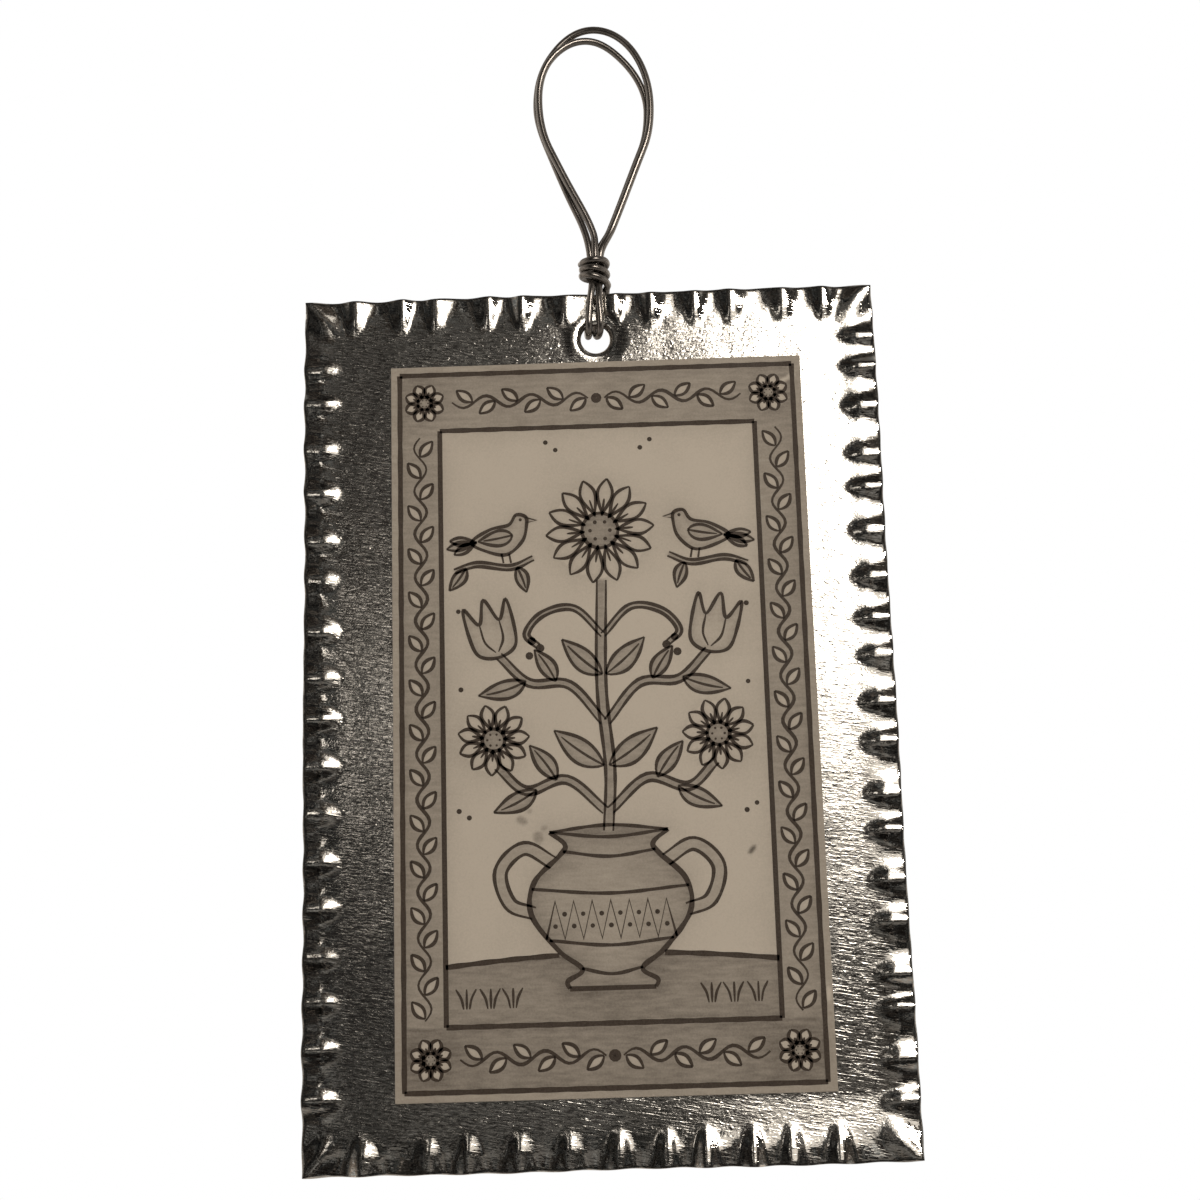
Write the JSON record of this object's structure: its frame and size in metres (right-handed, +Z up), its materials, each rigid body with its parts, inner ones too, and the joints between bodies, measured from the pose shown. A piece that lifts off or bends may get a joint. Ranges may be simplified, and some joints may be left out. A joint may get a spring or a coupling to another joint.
{
  "type": "tin picture ornament",
  "caption": "Hanging tin ornament: crimped tinplate rectangle with a picture card stuck on its front, on a soft wire hanger with a wound neck and a teardrop loop.",
  "frame": {"origin": "inside top of the hanging loop, where a hook or nail bears", "axes": "+Z up, +X to the viewer's right, the picture faces -Y and +Y points out of the back"},
  "size_m": [0.073, 0.0056, 0.1437],
  "materials": {
    "tinplate": "bright tinplate, finely brushed across, crimped edge",
    "printed_card": "matte printed card in warm greys",
    "adhesive_film": "clear film, hidden behind the card",
    "annealed_wire": "dark annealed steel wire, half gloss"
  },
  "bodies": {
    "hanger": {"hanger_wire": "annealed_wire"},
    "plate": {"tin_plate": "tinplate", "picture_card": "printed_card", "card_adhesive": "adhesive_film"}
  },
  "joints": [
    {"name": "plate_swing", "type": "hinge", "parent": "hanger", "child": "plate", "pos_m": [0, 0, -0.04035], "axis": [0, 1, 0], "range_deg": [-15, 15]}
  ]
}
